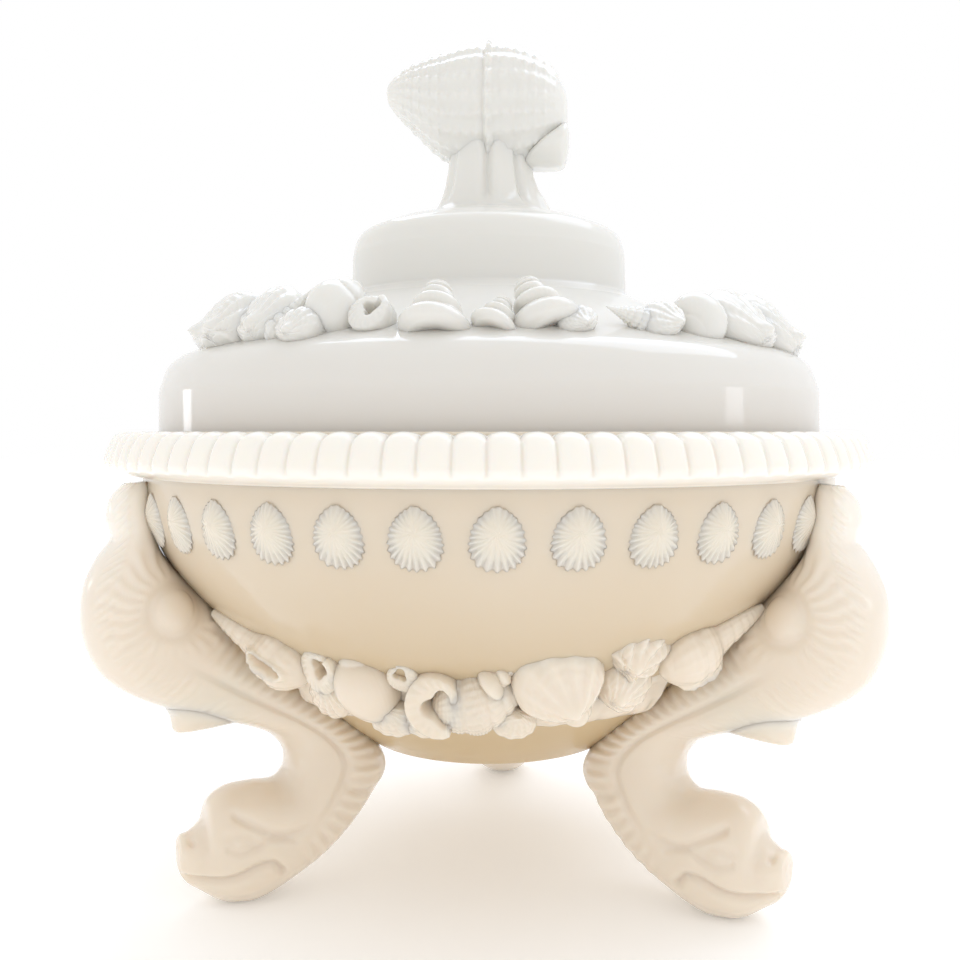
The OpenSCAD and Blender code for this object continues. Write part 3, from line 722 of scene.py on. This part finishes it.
# ---------------------------------------------------------------- Lid
# The lid is a second pressing, of a cooler white glass: a low drum with rounded shoulders and a round step
# on top. It lies loose on the seat inside the beads, and its skin is glossier, since no one handles it hot.
# The white glass has more of the crystals, so less light gets through, and its broad waves bend reflections.
# Painted shade: the lid's glass is painted darker on its lower drum and paler towards its top, where more
# light falls.
white_glass = milk_glass("white_milk_glass", "#E6E4DE", "#DDD8D1",
                         (rim_z - 4, rim_z + 26), 0.06, 24, 0.30, 0.3)

lid_r = box_mm("lid")[1][0]
lid_wall = 4.5
step_top, step_ceiling = 46.6, 41.4
LID_CORNERS = [  # radius, height above the rim, corner radius
    (0.01, step_top, 0), (22.6, 45.2, 3.0), (29.0, 42.6, 6.0), (30.0, 38.0, 3.0), (30.2, 29.6, 1.2),
    (33.2, 27.9, 2.0), (58.0, 18.2, 12), (68.0, 14.2, 11.0), (lid_r, 8.0, 4.0), (lid_r, -4.4, 0.6),
    (lid_r - lid_wall, -4.4, 0.6), (lid_r - lid_wall, 7.0, 4.0), (62.0, 11.0, 5.0), (28.5, 23.4, 2.0),
    (25.5, 36.0, 4.0), (18.0, 41.0, 4.0), (0.01, step_ceiling, 0)]
lid_outline = fill_out(soft_outline(LID_CORNERS), 2.5)[:-1]
top_point = np.argmin(lid_outline[:, 0] + 0.01 * abs(lid_outline[:, 1] - step_top))
lid_outline = np.vstack([lid_outline[top_point:], [[0.01, step_ceiling]]]) + [0, rim_z]
lid_grid = turned(lid_outline[::-1], sides)
press("lid_dome", [(lid_grid, "ends")], white_glass, "lid", "white_milk_glass", "lid")


# ---------------------------------------------------------------- Shells on the lid
# A ring of sea shells lies on the lid's shoulder round the step, pressed with the lid. The shells are the
# bowl's, softer and larger, and one big smooth shell bulges over the corner.
top_side = lid_outline[:int(np.argmax(lid_outline[:, 0])) + 1]


def on_lid(r, azimuth, length):
    """The middle of a shell that stands on the lid's shoulder, its foot at a radius, leaning inwards."""
    z = np.interp(r, top_side[:, 0], top_side[:, 1])
    lean = math.radians(60)
    slope = np.array([-math.cos(lean), math.sin(lean)])
    r, z = np.array([r, z]) + slope * length * 0.34
    return frame_at(r, z, slope, azimuth)


LID_RUN = [  # form, angle, radius of its foot, length, turn, sink, width
    (SCALLOP, 200, 60, 14, 5, 1.5, 1.1), (CLAM, 212, 62, 16, -20, 2.0, 1.2),
    (SCALLOP, 223.5, 63.5, 14, 8, 1.2, 1.05), (CLAM, 233, 62.5, 14, 14, 1.2, 0.95),
    (HORN, 239, 62.5, 13, -24, 0.2, 0.8), (COCKLE, 243.5, 65, 8, 0, 0.4, 1.1),
    (MOON, 246.5, 60.5, 13.5, -25, 0.9, 1.0), (CURL, 254.5, 61, 8, 30, 0.2, 1.1),
    (TURBAN, 265.2, 61, 12.2, 2, 1.4, 0.94), (TURBAN, 275.4, 60.5, 7.5, -20, 0.6, 1.0),
    (TURBAN, 282.4, 59, 12.4, 17, 1.4, 0.9), (COCKLE, 288, 62, 6, 20, 0.4, 1.2),
    (HORN, 298, 60.5, 9, 68, 0.2, 1.3), (COCKLE, 304, 61.5, 8, 35, 0.6, 1.2),
    (MOON, 313.5, 61.5, 12, -30, 1.0, 1.1), (CLAM, 325, 63.5, 15, -8, 1.6, 1.2),
    (CLAM, 338, 65, 17, -12, 2.4, 1.2), (COCKLE, 350, 63, 13, 10, 1.6, 1.2),
    (SCALLOP, 361, 61, 12, 5, 1.4, 1.1)]
back_run = 175  # the same run goes round the back, turned by this many degrees
LID_SHELLS = LID_RUN + [(form, angle + back_run, *rest) for form, angle, *rest in LID_RUN]
lid_ring = [laid(form, on_lid(r, angle, length), length, turn, sink, width)
            for form, angle, r, length, turn, sink, width in LID_SHELLS]
lid_root = 1.8  # how deep a shell's foot goes into the lid
for shell, _ in lid_ring:
    surface = np.interp(np.hypot(shell[..., 0], shell[..., 1]), top_side[:, 0], top_side[:, 1])
    shell[..., 2] = np.maximum(shell[..., 2], surface - lid_root)
press("lid_shell_ring", lid_ring, white_glass, "lid", "white_milk_glass", "lid_shells")


# ---------------------------------------------------------------- Knob
# The knob is a conch shell on a short flared stem, pressed with the lid. Ribs run along the conch from its
# point, a beaded ridge crosses it over the stem, and its lip turns down beside the stem as a thin web.
stem_foot, stem_top = 45.3, 65.0
STEM = curve_through([  # radius and height above the rim
    (17.4, stem_foot), (15.6, 46.6), (12.8, 48.0), (11.2, 49.8), (10.0, 53.0), (9.2, 57.0), (8.9, 60.2),
    (9.4, 63.0), (10.0, stem_top)], 8)
t = np.arange(240) * 2 * np.pi / 240
stem_share = (STEM[:, 1:] - stem_foot) / (stem_top - stem_foot)


def crease(turn, at, width, depth):
    """A soft crease that runs up the stem at an angle, in radians."""
    away = np.arctan2(np.sin(turn - at), np.cos(turn - at))
    return -depth * np.exp(-(away / width) ** 2)


open_share = step(stem_share, 0.12, 0.35)
stem_r = STEM[:, :1] + 0.25 * np.cos(5 * t + 0.6) * np.sin(stem_share * np.pi)
CREASES = [  # angle, width and depth
    (-1.54, 0.13, 1.7), (1.60, 0.13, 1.7), (-0.72, 0.10, 1.1), (0.72, 0.10, 1.1),
    (-2.5, 0.12, 0.6), (2.5, 0.12, 0.6)]
stem_r = stem_r + open_share * sum(crease(t, *line) for line in CREASES)
web_reach = np.interp(STEM[:, 1:], [stem_foot, 47, 50, 53.5, 56.6, 60, 62],
                      [14.6, 14.4, 13.2, 11.0, 9.9, 9.6, 9.0])
stem_r = stem_r + np.clip(web_reach - stem_r, 0, 9) * -crease(t, 0.0, 0.16, 1)
stem_grid = np.stack([stem_r * np.cos(t), stem_r * np.sin(t), STEM[:, 1:] + rim_z + 0 * t], -1)
press("knob_stem_and_web", [(stem_grid, "ends")], white_glass, "lid", "white_milk_glass", "knob_stem")

CONCH = curve_through([  # distance from the stem's middle, top and bottom heights above the rim, half width
    (-22.8, 76.6, 74.6, 1.0), (-22.3, 78.0, 72.6, 2.6), (-20.6, 79.6, 70.2, 4.6), (-18.0, 81.0, 67.8, 6.6),
    (-15.4, 82.0, 65.2, 8.4), (-12.4, 83.0, 62.2, 10.0), (-9.0, 84.0, 59.8, 11.3), (-5.0, 85.1, 58.4, 12.4),
    (-1.0, 85.5, 58.0, 13.0), (0.8, 85.5, 58.0, 13.2), (5.0, 85.1, 58.4, 13.0), (8.6, 84.0, 59.4, 12.2),
    (12.0, 82.2, 61.2, 10.6), (14.8, 79.6, 63.4, 8.4), (16.6, 76.6, 65.8, 5.6), (17.4, 73.6, 68.2, 2.4)], 8)
t = np.arange(176) * 2 * np.pi / 176
mid, half_high = (CONCH[:, 1] + CONCH[:, 2]) / 2 + rim_z, (CONCH[:, 1] - CONCH[:, 2]) / 2
x = CONCH[:, :1]
fade = step(x, -22.5, -17) * step(x, 17.2, 12)
beads = 0.75 + 0.35 * np.cos(x * 2 * np.pi / 2.1 + 0.5 * np.sin(3 * t))
ribs = 0.55 * (0.5 + 0.5 * np.cos(20 * t + 0.5)) ** 1.5 * beads * fade
ribs = ribs + 0.10 * np.cos(x * 2 * np.pi / 1.05 + 0.4 * np.sin(6 * t)) * fade
seam = 0.75 * np.exp(-((x - 0.6) / 0.6) ** 2) * (0.6 + 0.6 * np.cos(19 * t))
seam = seam - 0.4 * np.exp(-((x + 0.6) / 0.55) ** 2)
swell = 1 + (ribs + seam - 0.4) / np.maximum(half_high, 4)[:, None]
conch_grid = np.stack([x + 0 * t, CONCH[:, 3:] * np.sin(t) * swell,
                       mid[:, None] + half_high[:, None] * np.cos(t) * swell], -1)
LIP = curve_through([  # height above the rim, its two ends across the shell, half thickness
    (67.0, 15.8, 17.6, 4.4), (65.4, 14.2, 17.9, 6.6), (63.6, 11.6, 17.9, 7.6), (61.8, 9.4, 17.7, 7.2),
    (60.2, 8.0, 17.4, 6.2), (59.0, 7.6, 17.0, 4.8), (58.3, 8.4, 16.4, 3.4), (58.0, 10.5, 15.4, 1.8)], 6)
t = np.arange(72) * 2 * np.pi / 72
c, s = np.cos(t), np.sin(t)
lip_mid, lip_half = (LIP[:, 1] + LIP[:, 2]) / 2, (LIP[:, 2] - LIP[:, 1]) / 2
lip_grid = np.stack([lip_mid[:, None] + lip_half[:, None] * np.sign(c) * np.abs(c) ** 0.6,
                     LIP[:, 3:] * np.sign(s) * np.abs(s) ** 0.8, LIP[:, :1] + rim_z + 0 * t], -1)
press("conch_knob", [(conch_grid, "ends"), (lip_grid, "ends")], white_glass,
      "lid", "white_milk_glass", "knob_shell")
